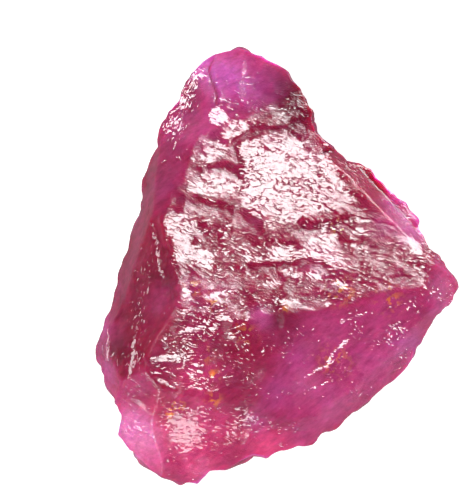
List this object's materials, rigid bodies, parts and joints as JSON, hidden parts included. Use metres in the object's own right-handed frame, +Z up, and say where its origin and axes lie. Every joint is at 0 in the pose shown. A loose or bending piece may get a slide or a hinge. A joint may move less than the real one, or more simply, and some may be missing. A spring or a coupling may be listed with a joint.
{
  "type": "raw ruby crystal",
  "caption": "Rough uncut ruby: a chunky cleaved stone with a narrow neck, broken ledges and a flat parting face to lie on.",
  "frame": {"origin": "middle of the stone's footprint, on the surface that it rests on", "axes": "+Y along the stone's length to its narrow neck, +X to its right-hand corner, +Z up through the wrinkled show face; the stone lies on its flat parting face"},
  "size_m": [0.022, 0.0264, 0.0112],
  "materials": {
    "ruby": "glassy, translucent deep red with violet-pink thin edges"
  },
  "bodies": {
    "root": {"ruby_crystal": "ruby"}
  },
  "joints": []
}
